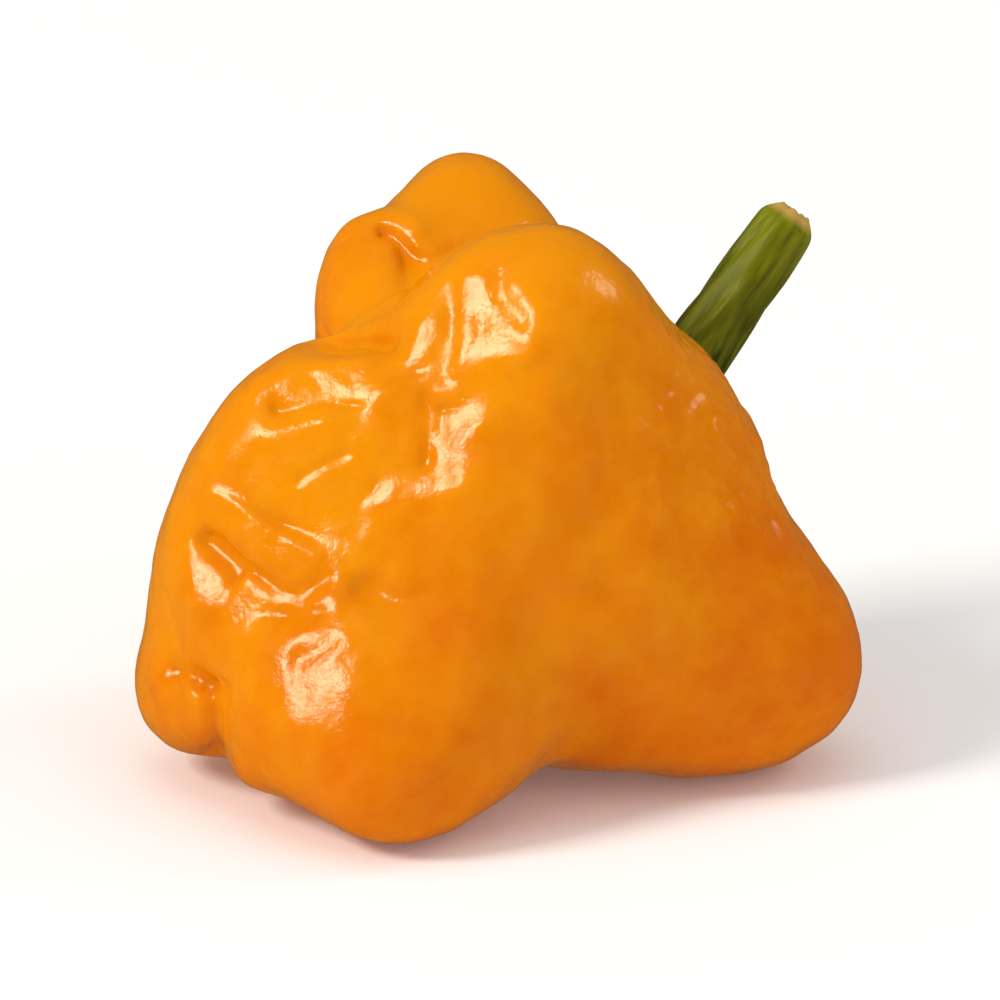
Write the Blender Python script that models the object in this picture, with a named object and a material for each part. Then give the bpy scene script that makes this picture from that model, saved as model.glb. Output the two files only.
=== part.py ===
"""A scotch bonnet pepper as picked, lying on four of its lobes.

Three pieces: the fruit, a lobed pod with folded skin; the calyx, a green cap with a ragged margin that
lies on the fruit; and the stem, the cut stalk that stands on the calyx.
"""

import math

import bmesh
import bpy
import numpy as np
from mathutils import Matrix, Vector, noise
from mathutils.bvhtree import BVHTree

MM = 0.001
SKIN_COLOUR = (0.86, 0.29, 0.01)
CALYX_COLOUR = (0.18, 0.16, 0.03)
STEM_COLOUR = (0.09, 0.10, 0.01)

# The fruit, in millimetres: x to the right, y away from the viewer, z up from the ground. It is a bundle of
# lobes: each is an ellipsoid that reaches out from the heart, and neighbours run softly into each other.
HEART = Vector((0.0, 18.0, 15.0))
CORE_RADIUS = 12.5
LOBES = {
    # name: (farthest point, half width across)
    "crown": ((3.2, 11.5, 36.3), 9.2),
    "back_crown": ((-2.6, 33.5, 35.3), 7.2),
    "back_cheek": ((-9.6, 25.5, 33.0), 5.6),
    "left_shoulder": ((-16.4, 9.8, 25.0), 9.2),
    "left_side": ((-21.6, 12.5, 14.2), 8.2),
    "left_foot": ((-22.9, 12.0, 4.0), 7.6),
    "left_toe": ((-17.6, 2.8, 5.4), 8.2),
    "front_toe": ((-7.4, -5.4, 3.5), 8.0),
    "front_column": ((-12.0, -3.6, 7.8), 8.4),
    "front_keel": ((4.0, 5.0, 9.0), 9.8),
    "right_foot": ((22.8, 12.8, 4.4), 9.2),
    "right_toe": ((14.0, 7.6, 5.0), 8.0),
    "calyx_shoulder": ((15.6, 16.5, 23.4), 9.8),
    "front_face": ((6.4, 4.2, 17.6), 11.5),
    "pucker": ((-3.4, 3.6, 24.0), 7.0),
    "left_cheek": ((-17.4, 5.6, 17.6), 8.4),
    "back_foot": ((11.0, 34.8, 3.6), 9.2),
    "back_toe": ((-12.4, 33.0, 3.7), 9.4),
    "back_shoulder": ((-15.2, 31.5, 15.0), 9.0),
}
LOBE_LENGTH_SHARE = 0.56
LOBE_JOIN = 9.0  # higher is a sharper valley between lobes
FRUIT_GRID = 26
FOOT_FLAT = 0.55  # how much of the lowest lobe is pressed flat

# Folds of the side that faces the viewer, drawn in the plane of view: x to the right, and up that plane.
VIEW_TILT = math.radians(19.0)
FOLDS = (
    # points along the fold, depth, half width
    (((-18.1, 9.6), (-18.3, 7.0), (-18.2, 3.6)), 1.3, 1.0),
    (((-18.6, 18.8), (-16.7, 17.2), (-14.8, 15.5), (-13.4, 14.6), (-11.8, 15.7), (-8.2, 16.4)), 1.2, 1.4),
    (((-18.2, 22.1), (-15.0, 19.9), (-11.5, 18.0)), 0.5, 0.8),
    (((-10.6, 31.5), (-9.0, 27.7), (-8.8, 24.0), (-9.4, 20.5)), 1.0, 1.6),
)

FOLD_FADE = 4.0  # how fast the folds fade out round the side

# Low swellings and dimples all over the skin: size of one swelling, height.
SWELLINGS = ((7.0, 0.5), (3.4, 0.22))

# The calyx: a thin cap that lies on the fruit, with short dry points that curl away at its margin.
CALYX_TOWARDS = Vector((0.575, 0.814, 0.09))
CALYX_AXIS = Vector((0.50, 0.645, 0.578)).normalized()
CALYX_RADIUS = 5.6
CALYX_POINTS = 6
CALYX_POINT_LENGTH = 1.6
CALYX_POINT_LIFT = 1.1
CALYX_FLAT_SHARE = 0.7
CALYX_RAGGED = ((1.7, 0.9), (5.0, 0.5))  # fineness of one unevenness of the margin, height
CALYX_THICKNESS = 0.9
CALYX_VEIN = 0.35
CALYX_RINGS = 8
CALYX_SECTORS = 72
CALYX_ABOVE_SKIN = 0.45
CAST_FROM = 20.0  # height over the seat from which the fruit's skin is felt for
BOSS_TOP_RADIUS = 2.5
BOSS_FOOT_RADIUS = 4.4
BOSS_HEIGHT = 1.6

# The stem: its axis leaves the calyx square to the boss and bends upwards.
STEM_AXIS = Vector((0.57, 0.25, 0.78)).normalized()
STEM_LENGTH = 15.6
STEM_GAP = 0.3
STEM_BEND_SHARE = 0.5
STEM_RADIUS_LOW = 2.3
STEM_RADIUS_HIGH = 1.95
STEM_FLARE = 0.45
STEM_FLARE_LENGTH = 1.8
STEM_END_ROUND = 1.1
STEM_END_FLAT = 0.9
STEM_RIBS = 5
STEM_RIB_DEPTH = 0.14
STEM_RINGS = 18
STEM_SIDES = 25


def clear_scene():
    for obj in list(bpy.data.objects):
        bpy.data.objects.remove(obj)


def material(name, colour, roughness, metallic=0.0):
    made = bpy.data.materials.new(name)
    made.use_nodes = True
    shader = made.node_tree.nodes["Principled BSDF"]
    shader.inputs["Base Color"].default_value = (*colour, 1.0)
    shader.inputs["Roughness"].default_value = roughness
    shader.inputs["Metallic"].default_value = metallic
    return made


def lobe_reach(directions, tip, half_width):
    """Distance from the heart to a lobe's skin in each direction: an ellipsoid that holds the heart."""
    towards = np.array(Vector(tip) - HEART)
    reach = np.linalg.norm(towards)
    along = LOBE_LENGTH_SHARE * reach
    offset = reach - along
    cosine = directions @ (towards / reach)
    sine_squared = 1.0 - cosine**2
    # The ray meets the ellipsoid where square_term * r^2 - 2 * linear_term * r + constant is zero.
    square_term = cosine**2 / along**2 + sine_squared / half_width**2
    linear_term = cosine * offset / along**2
    constant = offset**2 / along**2 - 1.0
    return (linear_term + np.sqrt(linear_term**2 - square_term * constant)) / square_term


def distance_to_path(points, path):
    """Distance in the plane of view from each point to a path of straight runs."""
    nearest = np.full(len(points), np.inf)
    for start, end in zip(path, path[1:]):
        start, end = np.array(start), np.array(end)
        run = end - start
        share = np.clip(((points - start) @ run) / (run @ run), 0.0, 1.0)
        gap = points - start - share[:, None] * run
        nearest = np.minimum(nearest, np.linalg.norm(gap, axis=1))
    return nearest


def skin_points(directions):
    """Points of the skin, in millimetres, for unit directions from the heart."""
    total = np.full(len(directions), CORE_RADIUS**LOBE_JOIN)
    for tip, half_width in LOBES.values():
        total += lobe_reach(directions, tip, half_width) ** LOBE_JOIN
    radius = total ** (1.0 / LOBE_JOIN)
    heart = np.array(HEART)
    points = heart + radius[:, None] * directions

    across = points[:, 0]
    up = points[:, 1] * math.sin(VIEW_TILT) + points[:, 2] * math.cos(VIEW_TILT)
    facing = directions @ np.array((0.0, -math.cos(VIEW_TILT), math.sin(VIEW_TILT)))
    in_front = np.clip(facing * FOLD_FADE + 0.6, 0.0, 1.0)
    for path, depth, half_width in FOLDS:
        away = distance_to_path(np.column_stack((across, up)), path)
        radius -= in_front * depth * np.exp(-((away / half_width) ** 2))

    for size, height in SWELLINGS:
        radius += height * np.array([noise.noise(Vector(p) / size) for p in points])
    return heart + radius[:, None] * directions


def cube_sphere(cuts):
    """A closed ball of even quads: a cube cut into squares and blown up to radius 1."""
    ball = bmesh.new()
    bmesh.ops.create_cube(ball, size=2.0)
    bmesh.ops.subdivide_edges(ball, edges=ball.edges, cuts=cuts - 1, use_grid_fill=True)
    for vertex in ball.verts:
        even = Vector(math.tan(side * math.pi / 4) for side in vertex.co)
        vertex.co = even.normalized()
    return ball


def join_rings(shape, rings):
    """Skins each pair of neighbouring rings with triangles."""
    for inner, outer in zip(rings, rings[1:]):
        count = len(inner)
        for index in range(count):
            following = (index + 1) % count
            shape.faces.new((inner[index], outer[index], outer[following]))
            shape.faces.new((inner[index], outer[following], inner[following]))


def finish_mesh(shape, name, finish, sharp_angle=60.0):
    bmesh.ops.recalc_face_normals(shape, faces=shape.faces)
    mesh = bpy.data.meshes.new(name)
    shape.to_mesh(mesh)
    shape.free()
    mesh.shade_smooth()
    mesh.set_sharp_from_angle(angle=math.radians(sharp_angle))
    mesh.materials.append(finish)
    obj = bpy.data.objects.new(name, mesh)
    bpy.context.collection.objects.link(obj)
    return obj


def make_fruit():
    pod = cube_sphere(FRUIT_GRID)
    directions = np.array([vertex.co for vertex in pod.verts], float)
    points = skin_points(directions)
    # The lowest lobes give a little under the weight, so each stands on a small flat of its own.
    ground = points[:, 2].min() + FOOT_FLAT
    points[:, 2] = np.maximum(points[:, 2], ground)
    for vertex, point in zip(pod.verts, points):
        vertex.co = Vector(point) * MM
    return finish_mesh(pod, "fruit", material("pepper_skin", SKIN_COLOUR, 0.25))


def ease(share):
    share = min(max(share, 0.0), 1.0)
    return share * share * (3.0 - 2.0 * share)


def pointedness(angle):
    """1 in the middle of each of the calyx's points, and 0 between them."""
    return 0.5 + 0.5 * math.cos(CALYX_POINTS * angle)


def margin_radius(angle):
    """How far the calyx reaches from its middle: blunt points on a ragged, dried edge."""
    around = Vector((math.cos(angle), math.sin(angle), 0.4))
    ragged = sum(height * noise.noise(around * fineness) for fineness, height in CALYX_RAGGED)
    return CALYX_RADIUS + CALYX_POINT_LENGTH * pointedness(angle) ** 1.5 + ragged


def calyx_seat(skin):
    """The middle of the calyx's seat on the fruit, with z turned to the calyx's axis."""
    middle = skin.ray_cast(HEART * MM, CALYX_TOWARDS)[0]
    return Matrix.Translation(middle) @ CALYX_AXIS.to_track_quat("Z", "Y").to_matrix().to_4x4()


def round_about(angle, reach, height):
    return Vector((reach * math.cos(angle), reach * math.sin(angle), height))


def calyx_underside(skin, seat):
    """Rings of places just over the fruit, from the middle out: angle, distance out, height over the seat."""
    rings = []
    for ring in range(1, CALYX_RINGS + 1):
        share = ring / CALYX_RINGS
        places = []
        for sector in range(CALYX_SECTORS):
            angle = sector * math.tau / CALYX_SECTORS
            reach = share * margin_radius(angle)
            above = seat @ (round_about(angle, reach, CAST_FROM) * MM)
            touched = skin.ray_cast(above, -CALYX_AXIS)[0]
            curl = ease((share - CALYX_FLAT_SHARE) / (1.0 - CALYX_FLAT_SHARE))
            lift = CALYX_POINT_LIFT * curl * pointedness(angle)
            places.append((angle, reach, (seat.inverted() @ touched).z / MM + CALYX_ABOVE_SKIN + lift))
        rings.append(places)
    return rings


def calyx_top(angle, reach, low, level):
    """Height of the upper side: flat on the boss, and beyond it a thin blade with a vein down each point."""
    on_boss = ease((BOSS_FOOT_RADIUS - reach) / (BOSS_FOOT_RADIUS - BOSS_TOP_RADIUS))
    vein = CALYX_VEIN * pointedness(angle) ** 4 * (1.0 - on_boss)
    return low + on_boss * (level - low + BOSS_HEIGHT) + CALYX_THICKNESS + vein


def make_calyx(skin, seat):
    """Makes the calyx, and gives the height of its boss over the seat."""
    underside = calyx_underside(skin, seat)
    level = sum(low for _, _, low in underside[0]) / CALYX_SECTORS
    top = [
        [(angle, reach, calyx_top(angle, reach, low, level)) for angle, reach, low in ring]
        for ring in underside
    ]
    boss_top = level + BOSS_HEIGHT + CALYX_THICKNESS
    cap = bmesh.new()
    margins = []
    for places, middle in ((underside, level), (top, boss_top)):
        rings = [[cap.verts.new(seat @ (round_about(*place) * MM)) for place in ring] for ring in places]
        centre = cap.verts.new(seat @ (Vector((0.0, 0.0, middle)) * MM))
        for here, onward in zip(rings[0], rings[0][1:] + rings[0][:1]):
            cap.faces.new((centre, here, onward))
        join_rings(cap, rings)
        margins.append(rings[-1])
    join_rings(cap, margins)
    return finish_mesh(cap, "calyx", material("dried_calyx", CALYX_COLOUR, 0.75)), boss_top


def stem_radius(distance, angle):
    """A round stalk with shallow ribs: flared where it meets the calyx, and rounded over at its cut end."""
    radius = STEM_RADIUS_LOW + (STEM_RADIUS_HIGH - STEM_RADIUS_LOW) * distance / STEM_LENGTH
    radius += STEM_FLARE * (1.0 - ease(distance / STEM_FLARE_LENGTH))
    radius += STEM_RIB_DEPTH * math.cos(STEM_RIBS * angle)
    into_end = max(0.0, distance - (STEM_LENGTH - STEM_END_ROUND))
    return radius - STEM_END_ROUND + math.sqrt(STEM_END_ROUND**2 - STEM_END_FLAT * into_end**2)


def make_stem(seat, boss_top):
    """A ring at each step along an axis that starts square to the boss and bends upwards."""
    place = seat @ (Vector((0.0, 0.0, boss_top + STEM_GAP)) * MM)
    sideways = CALYX_AXIS.orthogonal().normalized()
    step = STEM_LENGTH / STEM_RINGS
    stalk = bmesh.new()
    rings = []
    for ring in range(STEM_RINGS + 1):
        axis = CALYX_AXIS.lerp(STEM_AXIS, ease(ring / STEM_RINGS / STEM_BEND_SHARE)).normalized()
        right = sideways.cross(axis).normalized()
        front = axis.cross(right)
        row = []
        for side in range(STEM_SIDES):
            angle = side * math.tau / STEM_SIDES
            outwards = math.cos(angle) * right + math.sin(angle) * front
            row.append(stalk.verts.new(place + stem_radius(ring * step, angle) * MM * outwards))
        rings.append(row)
        place += axis * step * MM
    join_rings(stalk, rings)
    stalk.faces.new(rings[0])
    stalk.faces.new(rings[-1])
    return finish_mesh(stalk, "stem", material("green_stem", STEM_COLOUR, 0.55))


def stand_on_origin(pieces):
    """Brings the middle of the part's footprint to the origin."""
    corners = np.array([vertex.co for piece in pieces for vertex in piece.data.vertices])
    low, high = corners.min(axis=0), corners.max(axis=0)
    shift = Matrix.Translation((-(low[0] + high[0]) / 2.0, -(low[1] + high[1]) / 2.0, -low[2]))
    for piece in pieces:
        piece.data.transform(shift)


def main():
    clear_scene()
    fruit = make_fruit()
    whole = bmesh.new()
    whole.from_mesh(fruit.data)
    skin = BVHTree.FromBMesh(whole)
    whole.free()
    seat = calyx_seat(skin)
    calyx, boss_top = make_calyx(skin, seat)
    stem = make_stem(seat, boss_top)
    stand_on_origin((fruit, calyx, stem))


main()
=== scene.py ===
"""A ripe scotch bonnet pepper with its calyx and its stem, lying on a pale table in soft window light."""

import math

import bpy
import numpy as np
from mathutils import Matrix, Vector, noise


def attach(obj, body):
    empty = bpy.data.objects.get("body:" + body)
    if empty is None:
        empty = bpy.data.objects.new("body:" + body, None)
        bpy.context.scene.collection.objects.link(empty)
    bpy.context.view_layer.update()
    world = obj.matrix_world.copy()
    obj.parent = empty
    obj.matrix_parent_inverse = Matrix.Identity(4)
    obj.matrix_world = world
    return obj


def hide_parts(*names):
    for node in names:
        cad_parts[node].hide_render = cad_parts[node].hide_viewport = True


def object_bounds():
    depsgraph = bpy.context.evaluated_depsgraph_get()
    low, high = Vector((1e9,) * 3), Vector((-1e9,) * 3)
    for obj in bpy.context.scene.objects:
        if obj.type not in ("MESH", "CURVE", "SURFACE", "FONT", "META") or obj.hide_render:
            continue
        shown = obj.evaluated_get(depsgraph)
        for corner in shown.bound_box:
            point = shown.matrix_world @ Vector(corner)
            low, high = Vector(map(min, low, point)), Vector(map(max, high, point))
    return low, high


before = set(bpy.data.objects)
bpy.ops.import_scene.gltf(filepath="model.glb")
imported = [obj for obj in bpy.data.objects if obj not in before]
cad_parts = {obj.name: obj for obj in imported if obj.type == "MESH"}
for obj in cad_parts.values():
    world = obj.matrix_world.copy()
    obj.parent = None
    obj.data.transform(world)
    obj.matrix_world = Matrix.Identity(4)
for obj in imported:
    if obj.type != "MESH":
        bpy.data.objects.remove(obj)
cad_bounds = [list(corner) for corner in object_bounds()]
bpy.ops.object.select_all(action="DESELECT")

# The fruit
# A ripe pod: a hollow, lobed wall of flesh under a thin waxy skin. It grows unevenly, so its lobes crowd each
# other, and the skin folds between them and puckers. Handling has pressed small flats and dents into it.

MM = 0.001  # the frame is in metres, and sizes here are in millimetres where no comment says otherwise
POD_MIDDLE = (0.0, 0.0, 15.0)
BLANK_SIZE = 10.0  # of the cube that is rounded to a ball and cast outwards onto the solid
POD_CUTS = 120
SAME_PLACE = 0.001  # corners of the solid that are nearer than this are merged
EVENING = 0.5  # how far one pass of evening out moves a vertex towards its neighbours' middle
POD_PASSES = 28  # even out the facets of the solid
FACE_PASSES = 3  # soften the edges of the leaned faces
VALLEY_PASSES = 60  # even out the whole pod, to tell its valleys from its lobes
LEAN_STEPS = 320

# The photograph's view: how steeply it looks down, and how its pixels lie on the plane through the pod, where
# the place of one pixel is the mark for all.
VIEW_TILT = math.radians(19.0)
VIEW_RIGHT = np.array((1.0, 0.0, 0.0))
VIEW_UP = np.array((0.0, math.sin(VIEW_TILT), math.cos(VIEW_TILT)))
TO_VIEWER = np.array((0.0, -math.cos(VIEW_TILT), math.sin(VIEW_TILT)))
MM_PER_PIXEL = 0.235
MARK_PIXEL = (437.0, 786.0)
MARK_PLACE = (-0.031, -5.693)
FRONT_SHARPNESS = 5.0  # how sharply the front of the skin ends where it turns away from the viewer
FRONT_AT_OUTLINE = 0.4  # how much skin counts as the front where it is seen edge on

# Flatter faces of the skin: name, outline in the photograph's pixels, the way that it is asked to look, how
# much of its own shape gives way, and how soft its edge is in millimetres. The way is an azimuth and an
# elevation in degrees, where 0 faces the viewer and minus is to the left. A face that ends up near (-29, 34)
# mirrors the window and shines. Some are asked for more, since the skin round them pulls them back.
FACES = (
    ("face of the left shoulder",
     ((357, 689), (367, 677), (386, 671), (399, 670), (403, 692), (396, 708), (374, 699)),
     (-16.0, 10.0), 0.8, 1.6),
    ("under the shoulder's ridge",
     ((366, 700), (376, 704), (389, 711), (388, 716), (380, 719), (370, 709)),
     (-18.0, 10.0), 0.7, 1.0),
    ("slope beside the crown",
     ((400, 671), (406, 662), (418, 662), (419, 686), (404, 688)),
     (10.0, 20.0), 0.8, 1.4),
    ("below the slope",
     ((389, 701), (401, 691), (424, 693), (432, 716), (410, 724), (396, 718)),
     (-7.0, 18.0), 0.74, 2.6),
    ("below the crown",
     ((420, 658), (449, 659), (450, 666), (420, 665)),
     (-8.0, 18.0), 0.8, 1.0),
    ("side of the back lobe",
     ((384, 630), (412, 631), (410, 652), (384, 652)),
     (-46.0, 10.0), 0.8, 1.4),
    ("crown",
     ((426, 634), (437, 633), (448, 646), (447, 655), (428, 656), (432, 647)),
     (-31.0, 34.0), 0.95, 0.6),
    ("edge of the crown",
     ((415, 645), (420, 643), (420, 657), (413, 660)),
     (-25.0, 31.0), 0.95, 0.6),
    ("under the crown",
     ((421, 668), (435, 668), (434, 673), (428, 678), (429, 691), (421, 691)),
     (-33.0, 34.0), 0.95, 0.6),
    ("round the brow",
     ((374, 665), (385, 660), (392, 656), (402, 654), (403, 668), (386, 670), (376, 671)),
     (-33.0, 6.0), 0.92, 3.2),
    ("brow of the left shoulder",
     ((387, 660), (392, 657), (401, 656), (400, 667), (388, 667)),
     (-34.0, 14.0), 0.95, 1.2),
    ("near end of the brow",
     ((376, 663), (386, 660), (387, 667), (377, 669)),
     (-35.0, 31.0), 0.92, 1.6),
    ("top of the back lobe",
     ((402, 620), (408, 616), (416, 618), (416, 628), (412, 628), (410, 622)),
     (-34.0, 24.0), 0.95, 0.6),
    ("lower left lobe",
     ((353, 704), (359, 704), (366, 711), (366, 717), (359, 724), (353, 724)),
     (-26.0, 34.0), 0.95, 0.4),
    ("brow of the front toe",
     ((369, 713), (377, 718), (385, 723), (391, 718), (394, 720), (393, 726), (363, 726)),
     (-28.0, 27.0), 0.95, 0.6),
    ("front of the toe",
     ((382, 730), (391, 727), (391, 755), (380, 756)),
     (-29.0, 33.0), 0.95, 0.6),
    ("near fan mark",
     ((402, 694), (405, 686), (407, 694)),
     (-34.0, 38.0), 0.95, 0.5),
    ("far fan mark",
     ((412, 689), (414, 689), (417, 695), (415, 695)),
     (-35.0, 38.0), 0.93, 0.5),
    ("left foot",
     ((343, 740), (357, 741), (357, 747), (344, 747)),
     (-27.0, 46.0), 0.92, 0.8),
)
NEAR_SKIN = 7.0  # skin farther behind an outline's nearest point than this lies on another lobe
SKIN_HOLD = 0.0015  # how firmly the skin keeps to the solid, against leaning as its faces ask
FACE_GRIP = 20.0  # how much more a face counts than the skin round it
GRIP_SHARPNESS = 6  # faces that keep a part of their own shape grip far less

# Creases of the skin: name, points in the photograph's pixels, depth and half width. A minus makes a ridge.
CREASES = (
    ("notch between the left feet", ((358, 744), (359, 752), (359.5, 762)), 0.7, 0.55),
    ("ridge under the left shoulder", ((358, 691), (367, 695.5), (374, 701), (388, 709)), -0.24, 0.4),
    ("lip of the lower left lobe", ((369, 712), (376, 716), (384, 721), (391, 715)), 0.12, 0.5),
    ("short line on the shoulder", ((383, 688), (389, 684), (395, 681)), 0.2, 0.35),
    ("groove down the crown", ((424, 636), (424, 648), (422, 660)), 0.3, 0.7),
    ("nick in the crown", ((437, 632), (438, 638), (444, 645)), 0.25, 0.5),
    ("groove across the front toe", ((382, 737), (388, 735), (393, 731)), 0.16, 0.4),
)

# Wrinkles of the whole skin, in layers: size and height.
WRINKLES = ((4.6, 0.2), (2.1, 0.08), (1.0, 0.035))

# Where the skin is puckered more finely: name, the middle of the patch in pixels, its reach and its height.
PUCKERS = (
    ("right shoulder", (490, 668), 7.5, 0.16),
    ("right flank", (505, 692), 4.5, 0.17),
    ("right lobe", (522, 725), 5.0, 0.14),
    ("beside the crown", (412, 686), 4.0, 0.05),
    ("front toe", (402, 736), 2.5, 0.1),
    ("left feet", (350, 744), 3.5, 0.07),
    ("lower left lobe", (366, 718), 4.0, 0.03),
    ("crown", (432, 645), 5.0, 0.04),
)
PUCKER_SIZE = 0.85

# Folds that run together at the calyx: angle round the calyx in degrees, and depth. They are deepest at one
# distance from its axis, and fade out over a length.
CALYX_AXIS = np.array((0.50, 0.645, 0.578)) / np.linalg.norm((0.50, 0.645, 0.578))
CALYX_SEAT = np.array((9.0, 15.0, 17.2))
FOLDS = ((12.0, 1.0), (58.0, 0.7), (97.0, 1.1), (150.0, 0.8), (-155.0, 1.0), (-100.0, 0.8), (-48.0, 1.0))
FOLD_FROM_AXIS = 7.0
FOLD_LENGTH = 6.5
FOLD_HALF_WIDTH = 1.0

# The skin sinks in the valleys between the lobes, and stays full on the lobes.
VALLEY_DEPTH = 0.5
VALLEY_HOLLOW = 0.12  # a valley that lies at least this far below the evened-out pod sinks by the full depth
SKIN_FULLNESS = 0.12  # what evening out the facets takes off the lobes


def only(piece):
    """Leaves one object selected and active."""
    bpy.ops.object.select_all(action="DESELECT")
    piece.select_set(True)
    bpy.context.view_layer.objects.active = piece


def apply_modifier(piece, kind, **settings):
    """Adds a modifier, sets it and applies it."""
    only(piece)
    modifier = piece.modifiers.new(kind.title(), kind)
    for key, value in settings.items():
        setattr(modifier, key, value)
    bpy.ops.object.modifier_apply(modifier=modifier.name)


def even_out(piece, passes):
    """Takes the unevenness out of a mesh, more with each pass."""
    apply_modifier(piece, "SMOOTH", factor=EVENING, iterations=passes)


def merged_copy(node_name, new_name):
    """A copy of a solid's mesh with its loose triangles merged, left in edit mode."""
    piece = bpy.data.objects.new(new_name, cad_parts[node_name].data.copy())
    bpy.context.collection.objects.link(piece)
    only(piece)
    bpy.ops.object.mode_set(mode="EDIT")
    bpy.ops.mesh.select_all(action="SELECT")
    bpy.ops.mesh.remove_doubles(threshold=SAME_PLACE * MM)
    return piece


def vertex_places(piece):
    """The places of a mesh's vertices, in millimetres."""
    places = np.empty(len(piece.data.vertices) * 3)
    piece.data.vertices.foreach_get("co", places)
    return places.reshape(-1, 3) / MM


def vertex_normals(piece):
    """The way that a mesh's skin faces at each vertex."""
    normals = np.empty(len(piece.data.vertices) * 3)
    piece.data.vertices.foreach_get("normal", normals)
    return normals.reshape(-1, 3)


def set_places(piece, places):
    """Moves a mesh's vertices to places in millimetres."""
    piece.data.vertices.foreach_set("co", (places * MM).ravel())
    piece.data.update()


def in_box(places):
    """Places kept inside the box of the solids."""
    low, high = (np.array(corner) / MM for corner in cad_bounds)
    return np.clip(places, low, high)


def seen_places(places):
    """Where the viewer sees places: millimetres across and up the plane of view."""
    return np.column_stack((places @ VIEW_RIGHT, places @ VIEW_UP))


def share_in_front(piece):
    """1 where the skin faces the viewer, 0 where it faces away, and a soft step between."""
    return np.clip((vertex_normals(piece) @ TO_VIEWER) * FRONT_SHARPNESS + FRONT_AT_OUTLINE, 0.0, 1.0)


def on_view_plane(pixels):
    """Photograph pixels as millimetres across and up the plane of view."""
    across = (np.array([x for x, _ in pixels]) - MARK_PIXEL[0]) * MM_PER_PIXEL
    up = (MARK_PIXEL[1] - np.array([y for _, y in pixels])) * MM_PER_PIXEL
    return np.column_stack((across + MARK_PLACE[0], up + MARK_PLACE[1]))


def distance_to_path(points, path):
    """Distance from each point to a path of straight runs, all in the plane of view."""
    nearest = np.full(len(points), np.inf)
    for start, end in zip(path, path[1:]):
        run = end - start
        share = np.clip(((points - start) @ run) / (run @ run), 0.0, 1.0)
        nearest = np.minimum(nearest, np.linalg.norm(points - start - share[:, None] * run, axis=1))
    return nearest


def share_inside(points, outline, softness):
    """1 inside an outline on the plane of view, 0 outside it, and a soft step between."""
    inside = np.zeros(len(points), dtype=bool)
    for (ax, ay), (bx, by) in zip(outline, np.roll(outline, -1, axis=0)):
        crosses = (ay > points[:, 1]) != (by > points[:, 1])
        with np.errstate(divide="ignore", invalid="ignore"):
            where_crossed = (bx - ax) * (points[:, 1] - ay) / (by - ay) + ax
        inside ^= crosses & (points[:, 0] < where_crossed)
    away = distance_to_path(points, np.vstack((outline, outline[:1])))
    step = np.clip(0.5 + np.where(inside, away, -away) / softness, 0.0, 1.0)
    return step * step * (3.0 - 2.0 * step)


def way_towards(azimuth, elevation):
    """The way of an azimuth and an elevation in degrees. 0 is the viewer's side, and minus is to its left."""
    side, rise = math.radians(azimuth), math.radians(elevation)
    return np.array((math.sin(side) * math.cos(rise), -math.cos(side) * math.cos(rise), math.sin(rise)))


def wanted_slopes(seen, depth, in_front):
    """The slope that each vertex's skin is asked for, and how much of its own shape gives way to it."""
    slopes = np.zeros((len(seen), 2))
    shares = np.zeros(len(seen))
    for _, pixels, way, strength, softness in FACES:
        share = share_inside(seen, on_view_plane(pixels), softness) * in_front
        share[depth < depth[share > 0.5].max() - NEAR_SKIN] = 0.0
        faces = way_towards(*way)
        slope = -np.array((faces @ VIEW_RIGHT, faces @ VIEW_UP)) / (faces @ TO_VIEWER)
        slopes += share[:, None] * (slope - slopes)
        shares += share * (strength - shares)
    return slopes, shares


def lean_skin(piece):
    """Leans the skin of the side that faces the viewer towards its faces, with the least change elsewhere.

    Each edge of the mesh asks for a difference in depth between its ends, and each vertex asks to stay where
    it is. The moves that suit them all best are found step by step, by the method of conjugate gradients.
    """
    places = vertex_places(piece)
    in_front = share_in_front(piece)
    seen = seen_places(places)
    depth = places @ TO_VIEWER
    slopes, shares = wanted_slopes(seen, depth, in_front)
    ends = np.empty(len(piece.data.edges) * 2, dtype=np.int32)
    piece.data.edges.foreach_get("vertices", ends)
    start, end = ends.reshape(-1, 2).T
    share = (shares[start] + shares[end]) / 2.0
    asked = ((slopes[start] + slopes[end]) / 2.0 * (seen[end] - seen[start])).sum(axis=1)
    grip = 1.0 + FACE_GRIP * share ** GRIP_SHARPNESS
    short_of = grip * share * (asked - (depth[end] - depth[start]))
    count = len(places)
    hold = SKIN_HOLD + (1.0 - in_front)

    def pulled(move):
        """How hard moves pull back at each vertex."""
        across = grip * (move[end] - move[start])
        return hold * move + np.bincount(end, across, count) - np.bincount(start, across, count)

    move = np.zeros(count)
    rest = np.bincount(end, short_of, count) - np.bincount(start, short_of, count)
    step = rest.copy()
    size = rest @ rest
    for _ in range(LEAN_STEPS):
        pull = pulled(step)
        length = size / (step @ pull)
        move += length * step
        rest -= length * pull
        size, last_size = rest @ rest, size
        step = rest + (size / last_size) * step
    set_places(piece, places + move[:, None] * TO_VIEWER)


def unevenness(places, layers):
    """How far uneven growth lifts the skin at each place, summed from layers of a size and a height."""
    vectors = [Vector(place) for place in places]
    return np.array([sum(height * noise.noise(place / size) for size, height in layers) for place in vectors])


def valley_hollows(piece):
    """How far each vertex lies below the evened-out surface: above 0 in a valley, below 0 on a lobe."""
    evened = piece.copy()
    evened.data = piece.data.copy()
    bpy.context.collection.objects.link(evened)
    even_out(evened, VALLEY_PASSES)
    below = ((vertex_places(evened) - vertex_places(piece)) * vertex_normals(piece)).sum(axis=1)
    bpy.data.objects.remove(evened)
    only(piece)
    return below


def round_axis(places, middle, axis):
    """How far places lie along an axis, from a middle on it, and the way out from the axis to each."""
    out = places - middle
    along = out @ axis
    return along, out - along[:, None] * axis


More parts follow.
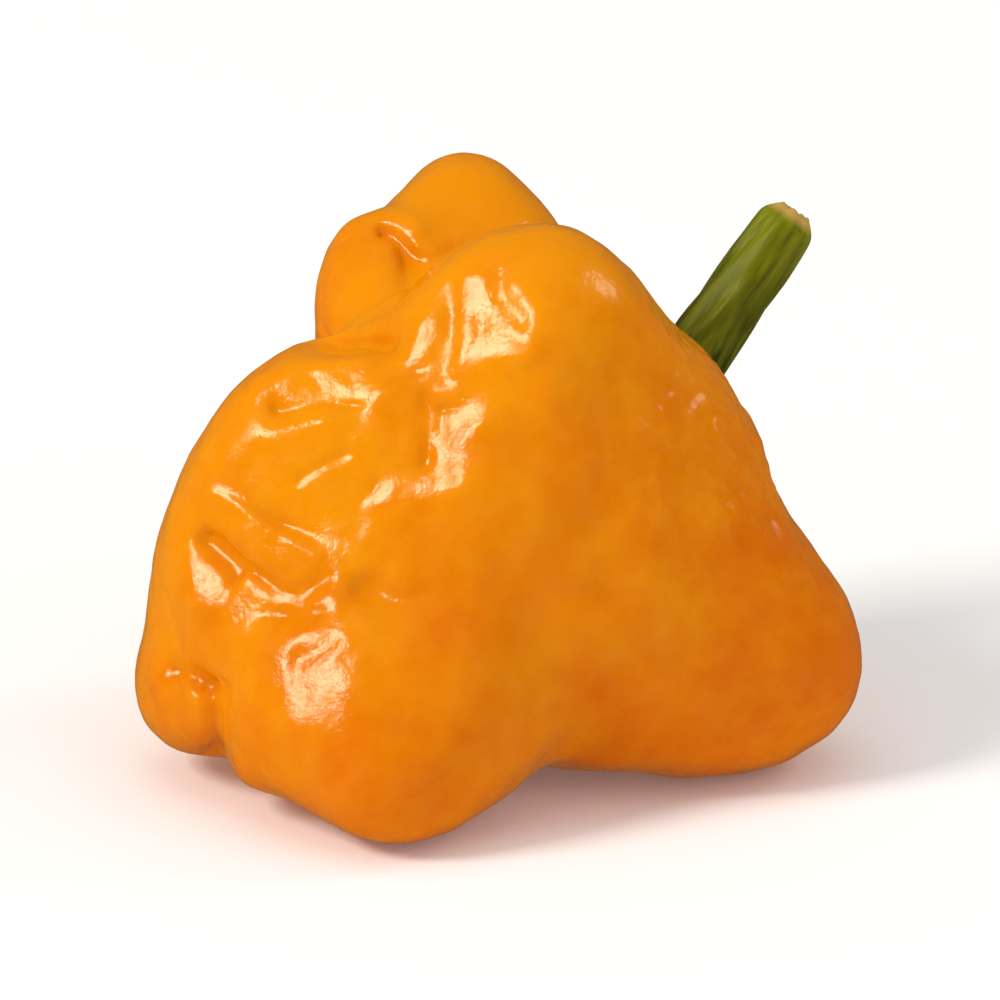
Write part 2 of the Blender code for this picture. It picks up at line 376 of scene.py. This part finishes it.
def angle_round(out, axis, start):
    """The angle round an axis of each way out from it, in radians, counted from the side of a start."""
    across = np.cross(axis, start)
    return np.arctan2(out @ across, out @ np.cross(across, axis))


def calyx_folds(places):
    """How deep the skin is folded at each place, by the folds that run together at the calyx."""
    along, out = round_axis(places, CALYX_SEAT, CALYX_AXIS)
    from_axis = np.linalg.norm(out, axis=1)
    angle = np.degrees(angle_round(out, CALYX_AXIS, (0.0, 0.0, 1.0)))
    reach = np.exp(-(((from_axis - FOLD_FROM_AXIS) / FOLD_LENGTH) ** 2)) * (np.abs(along) < FOLD_LENGTH)
    folded = np.zeros(len(places))
    for fold_angle, depth in FOLDS:
        turn = (angle - fold_angle + 180.0) % 360.0 - 180.0
        folded += depth * np.exp(-((np.radians(turn) * from_axis / FOLD_HALF_WIDTH) ** 2))
    return folded * reach


# A ball of even squares is cast outwards onto the solid, and takes over its shape without its facets.
bpy.ops.mesh.primitive_cube_add(size=BLANK_SIZE * MM, location=[part * MM for part in POD_MIDDLE])
fruit = bpy.context.object
fruit.name = "fruit_skin"
bpy.ops.object.mode_set(mode="EDIT")
bpy.ops.mesh.select_all(action="SELECT")
bpy.ops.mesh.subdivide(number_cuts=POD_CUTS)
bpy.ops.transform.tosphere(value=1.0)
bpy.ops.object.mode_set(mode="OBJECT")
bpy.ops.object.transform_apply(location=True, rotation=True, scale=True)
solid_pod = merged_copy("fruit", "solid_pod")
bpy.ops.object.mode_set(mode="OBJECT")
apply_modifier(fruit, "SHRINKWRAP", target=solid_pod, wrap_method="PROJECT")
bpy.data.objects.remove(solid_pod)
even_out(fruit, POD_PASSES)
lean_skin(fruit)
even_out(fruit, FACE_PASSES)

# The skin is then pushed out where it is full and swollen, and in where it is sunk, folded and creased.
places = vertex_places(fruit)
seen = seen_places(places)
in_front = share_in_front(fruit)
push = SKIN_FULLNESS + unevenness(places, WRINKLES)
push -= VALLEY_DEPTH * np.clip(valley_hollows(fruit) / VALLEY_HOLLOW, 0.0, 1.0) ** 2
push -= calyx_folds(places)
ripple = in_front * unevenness(places, ((PUCKER_SIZE, 1.0),))
for _, pixel, reach, height in PUCKERS:
    away = np.linalg.norm(seen - on_view_plane((pixel,)), axis=1)
    push += ripple * height * np.exp(-((away / reach) ** 2))
for _, pixels, depth, half_width in CREASES:
    away = distance_to_path(seen, on_view_plane(pixels))
    push -= in_front * depth * np.exp(-((away / half_width) ** 2))
set_places(fruit, in_box(places + push[:, None] * vertex_normals(fruit)))
bpy.ops.object.shade_smooth()


def linear(hex_colour):
    """An sRGB hex colour as linear RGBA."""
    channels = [int(hex_colour[i : i + 2], 16) / 255.0 for i in (1, 3, 5)]
    return (*[c / 12.92 if c <= 0.04045 else ((c + 0.055) / 1.055) ** 2.4 for c in channels], 1.0)


def node(tree, kind, settings=None, links=None, **inputs):
    """Adds a node with its settings, the sockets that feed it and its other input values."""
    made = tree.nodes.new(kind)
    for key, value in (settings or {}).items():
        setattr(made, key, value)
    for key, value in inputs.items():
        made.inputs[key.replace("_", " ")].default_value = value
    for key, socket in (links or {}).items():
        tree.links.new(socket, made.inputs[key])
    return made


def new_material(name):
    """Makes a material and gives it with its node tree and its shader."""
    made = bpy.data.materials.new(name)
    made.use_nodes = True
    return made, made.node_tree, made.node_tree.nodes["Principled BSDF"]


# Ripe pepper skin: a clear waxy cuticle over orange flesh that lets light in. Its gloss is sharp, and a fine
# unevenness of the cells breaks the edges of each reflection.
PAINTED_LIGHT_WAY = (-0.6, 0.2, 0.75)  # painted light: the skin goes from deep to light orange along this way, towards the window at the upper left
PAINTED_LIGHT_FROM = -8.0
PAINTED_LIGHT_TO = 24.0
BLOTCH_SIZE = 6.7
MOTTLE_SIZE = 1.6
MOTTLE_SHARE = 0.16
CELL_SIZE = 0.67  # a few cells together, since one cell is too small to show
CELL_RELIEF = 0.1
LIGHT_REACH = (3.0, 1.0, 0.2)  # how far red, green and blue light goes through the flesh
skin, tree, shader = new_material("ripe_pepper_skin")
where = node(tree, "ShaderNodeTexCoord").outputs["Object"]
blotches = node(tree, "ShaderNodeTexNoise", links={"Vector": where}, Detail=4.0, Roughness=0.6)
blotches.inputs["Scale"].default_value = 1.0 / (BLOTCH_SIZE * MM)
mottle = node(tree, "ShaderNodeTexNoise", links={"Vector": where}, Detail=2.0)
mottle.inputs["Scale"].default_value = 1.0 / (MOTTLE_SIZE * MM)
# Painted light: the orange is painted lighter on the side towards the window and deeper away from it. The
# blotches and the mottle are the skin's own uneven tone.
towards_window = node(tree, "ShaderNodeVectorMath", {"operation": "DOT_PRODUCT"}, {0: where})
towards_window.inputs[1].default_value = PAINTED_LIGHT_WAY
painted_light_share = node(tree, "ShaderNodeMapRange", links={"Value": towards_window.outputs["Value"]})
painted_light_share.inputs["From Min"].default_value = PAINTED_LIGHT_FROM * MM
painted_light_share.inputs["From Max"].default_value = PAINTED_LIGHT_TO * MM
painted_light_share.inputs["To Min"].default_value = -0.34
painted_light_share.inputs["To Max"].default_value = 0.12
mottle_and_painted_light_links = {0: mottle.outputs["Fac"], 2: painted_light_share.outputs["Result"]}
mottle_and_painted_light = node(tree, "ShaderNodeMath", {"operation": "MULTIPLY_ADD"}, mottle_and_painted_light_links)
mottle_and_painted_light.inputs[1].default_value = MOTTLE_SHARE
blotches_and_painted_light = node(tree, "ShaderNodeMath", links={0: blotches.outputs["Fac"], 1: mottle_and_painted_light.outputs["Value"]})
# The skin's own orange tones, with painted light from the gradient towards the window.
skin_tone_and_painted_light = node(tree, "ShaderNodeValToRGB", links={"Fac": blotches_and_painted_light.outputs["Value"]})
skin_tone_and_painted_light.color_ramp.elements[0].position = 0.2
skin_tone_and_painted_light.color_ramp.elements[0].color = linear("#df6e00")
skin_tone_and_painted_light.color_ramp.elements[1].position = 0.72
skin_tone_and_painted_light.color_ramp.elements[1].color = linear("#ee9100")
tree.links.new(skin_tone_and_painted_light.outputs["Color"], shader.inputs["Base Color"])
gloss = node(tree, "ShaderNodeMapRange", links={"Value": mottle.outputs["Fac"]})
gloss.inputs["From Min"].default_value = 0.3
gloss.inputs["From Max"].default_value = 0.7
gloss.inputs["To Min"].default_value = 0.11
gloss.inputs["To Max"].default_value = 0.23
tree.links.new(gloss.outputs["Result"], shader.inputs["Roughness"])
cells = node(tree, "ShaderNodeTexNoise", links={"Vector": where}, Detail=4.0, Roughness=0.6)
cells.inputs["Scale"].default_value = 1.0 / (CELL_SIZE * MM)
relief = node(tree, "ShaderNodeBump", links={"Height": cells.outputs["Fac"]}, Strength=0.55)
relief.inputs["Distance"].default_value = CELL_RELIEF * MM
tree.links.new(relief.outputs["Normal"], shader.inputs["Normal"])
shader.inputs["IOR"].default_value = 1.45
shader.inputs["Specular Tint"].default_value = (0.98, 0.84, 0.64, 1.0)
shader.inputs["Subsurface Weight"].default_value = 0.15
shader.inputs["Subsurface Radius"].default_value = LIGHT_REACH
shader.inputs["Subsurface Scale"].default_value = MM
fruit.data.materials.append(skin)
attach(fruit, "root")
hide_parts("fruit")

# The calyx
# The green cap of the flower, which stays on the fruit and dries out. It lies close on the skin round the
# stem, thick in the middle, and its thin margin turns brown, shrinks into ragged points and curls.

CALYX_SINK = 0.42
CALYX_RADIUS = 6.4
CALYX_WRINKLES = ((1.3, 0.14), (0.6, 0.08))
CALYX_THINNING = 0.35
BOSS_TOP = 0.6  # the part of the boss, from its top down, that its middle is taken from
MOST_DRY = 1.2  # dryness is 0 at the middle, 1 at the radius and at most this beyond it
MARGIN_FROM = 0.62  # shares of the radius
MARGIN_WIDTH = 0.4
TATTER_SIZE = 0.7
TATTER_DEPTH = 0.9
ON_AXIS = 0.1  # nearer to an axis than this, a vertex has no clear way out from it
FINER = 2  # times that each side of the solid is cut in two


def finer_copy(node_name, new_name):
    """A closed, finer and rounder copy of a solid's mesh."""
    piece = merged_copy(node_name, new_name)
    bpy.ops.mesh.tris_convert_to_quads()
    bpy.ops.object.mode_set(mode="OBJECT")
    piece.data.materials.clear()
    apply_modifier(piece, "SUBSURF", levels=FINER)
    return piece


def keep_value(piece, name, values):
    """Keeps one number for each vertex, for the material to read."""
    attribute = piece.data.attributes.new(name, "FLOAT", "POINT")
    attribute.data.foreach_set("value", values.astype(np.float32))


calyx = finer_copy("calyx", "dried_calyx_cap")
places = vertex_places(calyx)
height = places @ CALYX_AXIS
boss = places[height > height.max() - BOSS_TOP].mean(axis=0)
_, out = round_axis(places, boss, CALYX_AXIS)
from_axis = np.linalg.norm(out, axis=1)
dryness = np.clip(from_axis / CALYX_RADIUS, 0.0, MOST_DRY)
outer_side = np.clip(vertex_normals(calyx) @ CALYX_AXIS, 0.0, 1.0)
push = unevenness(places, CALYX_WRINKLES) - CALYX_THINNING * outer_side * dryness
places += (push * dryness)[:, None] * vertex_normals(calyx)
tatters = unevenness(places, ((TATTER_SIZE, TATTER_DEPTH),))
tatters *= np.clip((dryness - MARGIN_FROM) / MARGIN_WIDTH, 0.0, 1.0)
places += (tatters / np.maximum(from_axis, ON_AXIS))[:, None] * out
places -= CALYX_SINK * CALYX_AXIS
set_places(calyx, in_box(places))
keep_value(calyx, "dryness", dryness)
bpy.ops.object.shade_smooth()

# Dried calyx: leaf that goes from dull green in the middle to brown and grey, papery and rough at the margin.
DRY_PATCH_SIZE = 1.4
DRY_RELIEF = 0.2
leaf, tree, shader = new_material("drying_calyx_leaf")
where = node(tree, "ShaderNodeTexCoord").outputs["Object"]
dry = node(tree, "ShaderNodeAttribute", {"attribute_name": "dryness"}).outputs["Fac"]
patches = node(tree, "ShaderNodeTexNoise", links={"Vector": where}, Detail=5.0, Roughness=0.65)
patches.inputs["Scale"].default_value = 1.0 / (DRY_PATCH_SIZE * MM)
patch_share = node(tree, "ShaderNodeMapRange", links={"Value": patches.outputs["Fac"]})
patch_share.inputs["To Min"].default_value = -0.3
patch_share.inputs["To Max"].default_value = 0.3
age = node(tree, "ShaderNodeMath", links={0: dry, 1: patch_share.outputs["Result"]})
ages = node(tree, "ShaderNodeValToRGB", links={"Fac": age.outputs["Value"]})
ages.color_ramp.elements[0].position = 0.32
ages.color_ramp.elements[0].color = linear("#84880f")
ages.color_ramp.elements[1].position = 1.0
ages.color_ramp.elements[1].color = linear("#a8924e")
for position, colour in ((0.55, "#74690c"), (0.74, "#6b4e10"), (0.88, "#7f6a2c")):
    ages.color_ramp.elements.new(position).color = linear(colour)
tree.links.new(ages.outputs["Color"], shader.inputs["Base Color"])
relief = node(tree, "ShaderNodeBump", links={"Height": patches.outputs["Fac"]}, Strength=0.7)
relief.inputs["Distance"].default_value = DRY_RELIEF * MM
tree.links.new(relief.outputs["Normal"], shader.inputs["Normal"])
shader.inputs["Roughness"].default_value = 0.72
shader.inputs["Specular IOR Level"].default_value = 0.25
calyx.data.materials.append(leaf)
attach(calyx, "root")
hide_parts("calyx")

# The stem
# The stalk that the fruit hung from, cut when it was picked. It is green and finely ribbed, grows out of the
# boss of the calyx, and its cut end has dried to a pale rim round a sunken pith.

STEM_AXIS = np.array((0.57, 0.25, 0.78)) / np.linalg.norm((0.57, 0.25, 0.78))
STEM_SINK = 1.1  # how far the foot of the stem reaches into the boss of the calyx
STEM_SINK_FROM = 3.0  # the height over the boss from which it is drawn down
STEM_RIBS = ((7, 0.07), (12, 0.035))  # how many ribs go round the stem, and their height
RIB_TWIST = 0.12  # turn of the ribs for each millimetre down the stem, in radians
RIB_FROM_AXIS = 0.6  # ribs grow from here to their full height a millimetre farther out
TIP_END = 0.5  # the part of the stem, from its tip down, that the tip's middle is taken from
CUT_REACH = 1.2  # how far down from the tip the stem has dried and narrowed
TIP_NARROWS = 0.16
PITH_RADIUS = 1.15
PITH_EDGE = 0.6
PITH_DEPTH = 0.4
STEM_PASSES = 3

stem = finer_copy("stem", "picked_stem")
places = vertex_places(stem)
foot = np.clip(1.0 - (places - boss) @ CALYX_AXIS / STEM_SINK_FROM, 0.0, 1.0)
places -= (STEM_SINK * foot ** 2)[:, None] * CALYX_AXIS
height = places @ STEM_AXIS
tip = places[height > height.max() - TIP_END].mean(axis=0)
above_tip, out = round_axis(places, tip, STEM_AXIS)
from_tip = -above_tip
from_axis = np.linalg.norm(out, axis=1)
at_tip = np.clip(1.0 - from_tip / CUT_REACH, 0.0, 1.0)
turn = angle_round(out, STEM_AXIS, (0.0, 1.0, 0.0)) + RIB_TWIST * from_tip
ribs = sum(rib_height * np.sin(count * turn) for count, rib_height in STEM_RIBS)
ribs *= np.clip(from_axis - RIB_FROM_AXIS, 0.0, 1.0)
places += (ribs / np.maximum(from_axis, ON_AXIS))[:, None] * out
places -= (TIP_NARROWS * at_tip ** 2)[:, None] * out
pith = at_tip * np.clip((PITH_RADIUS - from_axis) / PITH_EDGE, 0.0, 1.0)
places -= (PITH_DEPTH * pith)[:, None] * STEM_AXIS
set_places(stem, in_box(places))
even_out(stem, STEM_PASSES)
keep_value(stem, "cut_end", at_tip)
keep_value(stem, "way_up", np.clip(1.0 - from_tip / from_tip.max(), 0.0, 1.0))
bpy.ops.object.shade_smooth()

# Stem skin: green, with fine paler and darker fibres that run along it, and a pale dry rim at the cut.
FIBRE_WIDTH = 0.67
FIBRE_SLIMNESS = 9.0  # how much longer a fibre is than it is wide
FIBRE_RELIEF = 0.1
PALER_UP = 0.28  # how much paler the stem is at its tip than at its foot
stalk, tree, shader = new_material("green_stem_skin")
where = node(tree, "ShaderNodeTexCoord").outputs["Object"]
turned = node(tree, "ShaderNodeMapping", {"vector_type": "TEXTURE"}, {"Vector": where})
turned.inputs["Rotation"].default_value = Vector((0, 0, 1)).rotation_difference(Vector(STEM_AXIS)).to_euler()
turned.inputs["Scale"].default_value = (1.0, 1.0, FIBRE_SLIMNESS)
fibres = node(tree, "ShaderNodeTexNoise", links={"Vector": turned.outputs["Vector"]}, Detail=4.0)
fibres.inputs["Scale"].default_value = 1.0 / (FIBRE_WIDTH * MM)
way_up = node(tree, "ShaderNodeAttribute", {"attribute_name": "way_up"}).outputs["Fac"]
paler = node(tree, "ShaderNodeMath", {"operation": "MULTIPLY_ADD"}, {0: way_up, 2: fibres.outputs["Fac"]})
paler.inputs[1].default_value = PALER_UP
greens = node(tree, "ShaderNodeValToRGB", links={"Fac": paler.outputs["Value"]})
greens.color_ramp.elements[0].position = 0.44
greens.color_ramp.elements[0].color = linear("#343a00")
greens.color_ramp.elements[1].position = 0.86
greens.color_ramp.elements[1].color = linear("#7c820c")
cut = node(tree, "ShaderNodeAttribute", {"attribute_name": "cut_end"}).outputs["Fac"]
dry_rim = node(tree, "ShaderNodeMapRange", links={"Value": cut})
dry_rim.inputs["From Min"].default_value = 0.35
dry_rim.inputs["From Max"].default_value = 0.8
tip_links = {0: dry_rim.outputs["Result"], 6: greens.outputs["Color"]}
tip_colour = node(tree, "ShaderNodeMix", {"data_type": "RGBA"}, tip_links)
tip_colour.inputs[7].default_value = linear("#c09a4c")
tree.links.new(tip_colour.outputs[2], shader.inputs["Base Color"])
relief = node(tree, "ShaderNodeBump", links={"Height": fibres.outputs["Fac"]}, Strength=0.6)
relief.inputs["Distance"].default_value = FIBRE_RELIEF * MM
tree.links.new(relief.outputs["Normal"], shader.inputs["Normal"])
shader.inputs["Roughness"].default_value = 0.42
shader.inputs["Specular IOR Level"].default_value = 0.18
shader.inputs["Specular Tint"].default_value = (0.9, 1.0, 0.55, 1.0)
stem.data.materials.append(stalk)
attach(stem, "root")
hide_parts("stem")

# The room
# A pale table under a big soft window at the left, with a weaker one behind at the right, and white walls
# that fill the shadows. Sizes in this section are in metres.

TABLE_SIZE = 20.0
bpy.ops.mesh.primitive_plane_add(size=TABLE_SIZE)
table = bpy.context.object
table.name = "pale_table"

# Matt white paint: it mirrors nothing, and a faint light of its own keeps it white round the fruit. The skin
# doesn't mirror the table, since that would hide the deep orange of the lower lobes.
paint, tree, shader = new_material("matt_white_paint")
shader.inputs["Base Color"].default_value = linear("#fbfbfb")
shader.inputs["Roughness"].default_value = 0.7
shader.inputs["Emission Color"].default_value = linear("#ffffff")
shader.inputs["Emission Strength"].default_value = 0.08
table.data.materials.append(paint)
table.visible_glossy = False


def soft_light(name, azimuth, elevation, distance, size, power, colour="#ffffff"):
    """A square light that faces the fruit, from an azimuth and an elevation in degrees."""
    lamp = bpy.data.lights.new(name, "AREA")
    lamp.size = size
    lamp.energy = power
    lamp.color = linear(colour)[:3]
    holder = bpy.data.objects.new(name, lamp)
    bpy.context.collection.objects.link(holder)
    towards = Vector(way_towards(azimuth, elevation))
    holder.location = towards * distance
    holder.rotation_euler = towards.to_track_quat("Z", "Y").to_euler()
    return holder


DAYLIGHT = "#fffcf4"
soft_light("window", azimuth=-65, elevation=40, distance=2.6, size=0.8, power=39.0, colour=DAYLIGHT)
soft_light("far_window", azimuth=112, elevation=38, distance=3.0, size=0.8, power=9.0, colour=DAYLIGHT)
wall = soft_light("white_wall", azimuth=50, elevation=25, distance=3.0, size=2.4, power=12.0)
ceiling = soft_light("white_ceiling", azimuth=0, elevation=88, distance=3.0, size=3.0, power=20.0)
wall.visible_glossy = False
ceiling.visible_glossy = False

# What the skin mirrors beside the windows is dimmer and warmer than the white that lights it.
world = bpy.data.worlds.new("white_room")
world.use_nodes = True
tree = world.node_tree
walls = tree.nodes["Background"]
walls.inputs["Color"].default_value = linear("#ffffff")
walls.inputs["Strength"].default_value = 0.42
warm_gloss = node(tree, "ShaderNodeBackground", Color=(1.0, 0.62, 0.28, 1.0), Strength=0.22)
in_gloss = node(tree, "ShaderNodeLightPath").outputs["Is Glossy Ray"]
either = node(tree, "ShaderNodeMixShader", links={0: in_gloss, 1: walls.outputs[0], 2: warm_gloss.outputs[0]})
tree.links.new(either.outputs[0], tree.nodes["World Output"].inputs["Surface"])
bpy.context.scene.world = world
bpy.context.scene.view_settings.view_transform = "Standard"

# The camera looks from far away, as the photograph does, so that near and far lobes keep their sizes.
CAMERA_DISTANCE = 1.3
CAMERA_AIM = (0.0001, 0.0, 0.01697)
FRAME_WIDTH = 0.0646
SENSOR_WIDTH = 36.0  # millimetres
camera = bpy.data.objects.new("camera", bpy.data.cameras.new("camera"))
bpy.context.collection.objects.link(camera)
camera.data.sensor_width = SENSOR_WIDTH
camera.data.lens = SENSOR_WIDTH * CAMERA_DISTANCE / FRAME_WIDTH
camera.location = Vector(CAMERA_AIM) + Vector(TO_VIEWER) * CAMERA_DISTANCE
camera.rotation_euler = Vector(TO_VIEWER).to_track_quat("Z", "Y").to_euler()
bpy.context.scene.camera = camera
